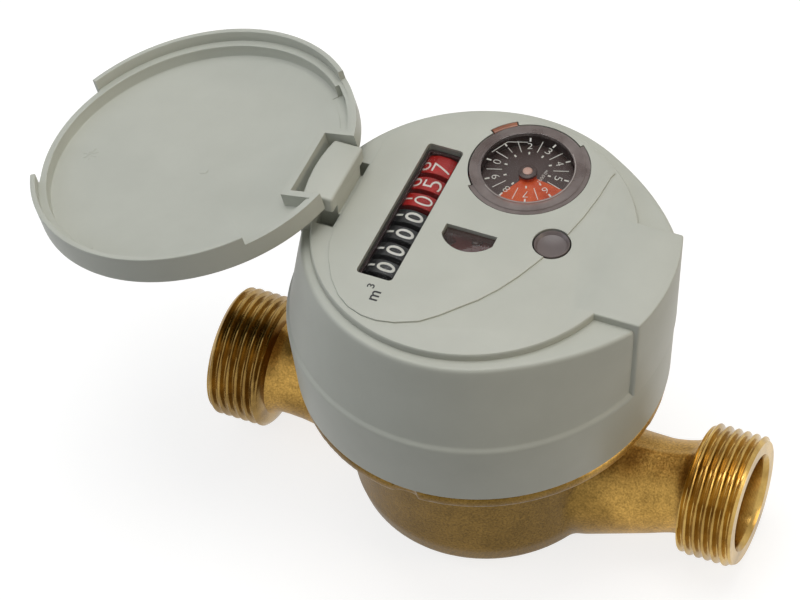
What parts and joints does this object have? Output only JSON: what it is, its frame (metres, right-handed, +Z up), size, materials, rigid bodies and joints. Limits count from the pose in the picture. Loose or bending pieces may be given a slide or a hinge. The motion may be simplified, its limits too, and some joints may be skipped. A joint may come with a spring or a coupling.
{
  "type": "water meter",
  "caption": "Domestic cold-water meter: threaded brass body, impeller, magnetic coupling, geared roller counter and pointer, in a turnable grey register with hinged lid.",
  "frame": {"origin": "middle of the flat underside of the brass cup, straight under the impeller's axis", "axes": "+X along the pipe from inlet to outlet, +Z up along the impeller's axis, +Y to the dial's side"},
  "size_m": [0.1436, 0.0736, 0.079],
  "materials": {
    "brass": "cast and shot-blasted, machined at the faces and threads",
    "grey_housing": "fine matt moulding",
    "black_movement": "plain moulding",
    "brown_dial": "plain moulding",
    "dark_plug": "plain moulding",
    "white_gears": "plain moulding",
    "black_wheel": "satin moulding",
    "red_wheel": "satin moulding",
    "orange_pointer": "satin moulding",
    "red_star": "satin moulding",
    "steel": "bright",
    "magnet": "sintered, dull",
    "seal_rubber": "smooth moulding",
    "clear_window": "polished clear moulding"
  },
  "bodies": {
    "body": {"meter_body": "brass", "inlet_strainer": "white_gears", "lower_pivot": "steel", "pressure_plate": "brown_dial", "plate_seal": "seal_rubber", "locking_ring": "brass", "register_clip": "steel"},
    "register": {"housing_shell": "grey_housing", "register_base": "grey_housing", "magnetic_shield": "steel", "movement_plate": "black_movement", "movement_bridge": "black_movement", "movement_screw_1": "steel", "movement_screw_2": "steel", "movement_screw_3": "steel", "counter_frame": "black_movement", "counter_axle": "steel", "carry_axle": "steel", "dial_disc": "brown_dial", "dial_window": "clear_window", "counter_window": "clear_window", "leak_window": "clear_window", "sensor_plug": "dark_plug"},
    "lid": {"lid": "grey_housing"},
    "impeller": {"impeller": "white_gears", "impeller_magnet": "magnet"},
    "driven_arbor": {"driven_arbor": "steel", "driven_magnet": "magnet", "leak_star": "red_star"},
    "transfer_gear": {"transfer_gear": "white_gears"},
    "pointer_arbor": {"pointer_arbor": "white_gears", "pointer": "orange_pointer"},
    "worm_arbor": {"worm_arbor": "white_gears"},
    "wheel_1": {"number_wheel_1": "red_wheel"},
    "wheel_2": {"number_wheel_2": "red_wheel"},
    "wheel_3": {"number_wheel_3": "red_wheel"},
    "wheel_4": {"number_wheel_4": "black_wheel"},
    "wheel_5": {"number_wheel_5": "black_wheel"},
    "wheel_6": {"number_wheel_6": "black_wheel"},
    "wheel_7": {"number_wheel_7": "black_wheel"},
    "carry_1": {"carry_pinion_1": "white_gears"},
    "carry_2": {"carry_pinion_2": "white_gears"},
    "carry_3": {"carry_pinion_3": "white_gears"},
    "carry_4": {"carry_pinion_4": "white_gears"},
    "carry_5": {"carry_pinion_5": "white_gears"},
    "carry_6": {"carry_pinion_6": "white_gears"}
  },
  "joints": [
    {"name": "register_turn", "type": "hinge", "parent": "body", "child": "register", "pos_m": [0, 0, 0.04], "axis": [0, 0, 1], "range_deg": [-177.5, 177.5]},
    {"name": "lid_hinge", "type": "hinge", "parent": "register", "child": "lid", "pos_m": [-0.0293, 0, 0.07433], "axis": [0, 1, 0], "range_deg": [0, 192.8]},
    {"name": "impeller_spin", "type": "hinge", "parent": "body", "child": "impeller", "pos_m": [0, 0, 0.02], "axis": [0, 0, 1], "continuous": true},
    {"name": "driven_spin", "type": "hinge", "parent": "register", "child": "driven_arbor", "pos_m": [0, 0, 0.04], "axis": [0, 0, 1], "continuous": true},
    {"name": "transfer_spin", "type": "hinge", "parent": "register", "child": "transfer_gear", "pos_m": [0.0093, 0.00759, 0.047], "axis": [0, 0, 1], "continuous": true},
    {"name": "pointer_spin", "type": "hinge", "parent": "register", "child": "pointer_arbor", "pos_m": [0.003, 0.0178, 0.05], "axis": [0, 0, 1], "continuous": true},
    {"name": "worm_spin", "type": "hinge", "parent": "register", "child": "worm_arbor", "pos_m": [-0.00705, 0.0189, 0.055], "axis": [0, 0, 1], "continuous": true},
    {"name": "wheel_1_spin", "type": "hinge", "parent": "register", "child": "wheel_1", "pos_m": [-0.0133, 0.0135, 0.0625], "axis": [0, 1, 0], "continuous": true},
    {"name": "carry_1_spin", "type": "hinge", "parent": "register", "child": "carry_1", "pos_m": [-0.0088, 0.0113, 0.05714], "axis": [0, 1, 0], "continuous": true},
    {"name": "wheel_2_spin", "type": "hinge", "parent": "register", "child": "wheel_2", "pos_m": [-0.0133, 0.00907, 0.0625], "axis": [0, 1, 0], "continuous": true},
    {"name": "carry_2_spin", "type": "hinge", "parent": "register", "child": "carry_2", "pos_m": [-0.0088, 0.00687, 0.05714], "axis": [0, 1, 0], "continuous": true},
    {"name": "wheel_3_spin", "type": "hinge", "parent": "register", "child": "wheel_3", "pos_m": [-0.0133, 0.00464, 0.0625], "axis": [0, 1, 0], "continuous": true},
    {"name": "carry_3_spin", "type": "hinge", "parent": "register", "child": "carry_3", "pos_m": [-0.0088, 0.00244, 0.05714], "axis": [0, 1, 0], "continuous": true},
    {"name": "wheel_4_spin", "type": "hinge", "parent": "register", "child": "wheel_4", "pos_m": [-0.0133, 0.00021, 0.0625], "axis": [0, 1, 0], "continuous": true},
    {"name": "carry_4_spin", "type": "hinge", "parent": "register", "child": "carry_4", "pos_m": [-0.0088, -0.00199, 0.05714], "axis": [0, 1, 0], "continuous": true},
    {"name": "wheel_5_spin", "type": "hinge", "parent": "register", "child": "wheel_5", "pos_m": [-0.0133, -0.00422, 0.0625], "axis": [0, 1, 0], "continuous": true},
    {"name": "carry_5_spin", "type": "hinge", "parent": "register", "child": "carry_5", "pos_m": [-0.0088, -0.00642, 0.05714], "axis": [0, 1, 0], "continuous": true},
    {"name": "wheel_6_spin", "type": "hinge", "parent": "register", "child": "wheel_6", "pos_m": [-0.0133, -0.00865, 0.0625], "axis": [0, 1, 0], "continuous": true},
    {"name": "carry_6_spin", "type": "hinge", "parent": "register", "child": "carry_6", "pos_m": [-0.0088, -0.01085, 0.05714], "axis": [0, 1, 0], "continuous": true},
    {"name": "wheel_7_spin", "type": "hinge", "parent": "register", "child": "wheel_7", "pos_m": [-0.0133, -0.01308, 0.0625], "axis": [0, 1, 0], "continuous": true}
  ],
  "couplings": [
    {"joint": "driven_spin", "follows": "impeller_spin", "ratio": 1},
    {"joint": "transfer_spin", "follows": "impeller_spin", "ratio": -0.2},
    {"joint": "pointer_spin", "follows": "impeller_spin", "ratio": 0.04},
    {"joint": "worm_spin", "follows": "impeller_spin", "ratio": -0.04},
    {"joint": "wheel_1_spin", "follows": "impeller_spin", "ratio": -0.004},
    {"joint": "carry_1_spin", "follows": "impeller_spin", "ratio": 0.001},
    {"joint": "wheel_2_spin", "follows": "impeller_spin", "ratio": -0.0004},
    {"joint": "carry_2_spin", "follows": "impeller_spin", "ratio": 0.0001},
    {"joint": "wheel_3_spin", "follows": "impeller_spin", "ratio": -0.00004},
    {"joint": "carry_3_spin", "follows": "impeller_spin", "ratio": 0.00001},
    {"joint": "wheel_4_spin", "follows": "impeller_spin", "ratio": -0.000004},
    {"joint": "carry_4_spin", "follows": "impeller_spin", "ratio": 0.000001},
    {"joint": "wheel_5_spin", "follows": "impeller_spin", "ratio": -0.0000004},
    {"joint": "carry_5_spin", "follows": "impeller_spin", "ratio": 0.0000001},
    {"joint": "wheel_6_spin", "follows": "impeller_spin", "ratio": -0.00000004},
    {"joint": "carry_6_spin", "follows": "impeller_spin", "ratio": 0.00000001},
    {"joint": "wheel_7_spin", "follows": "impeller_spin", "ratio": -0.000000004}
  ]
}
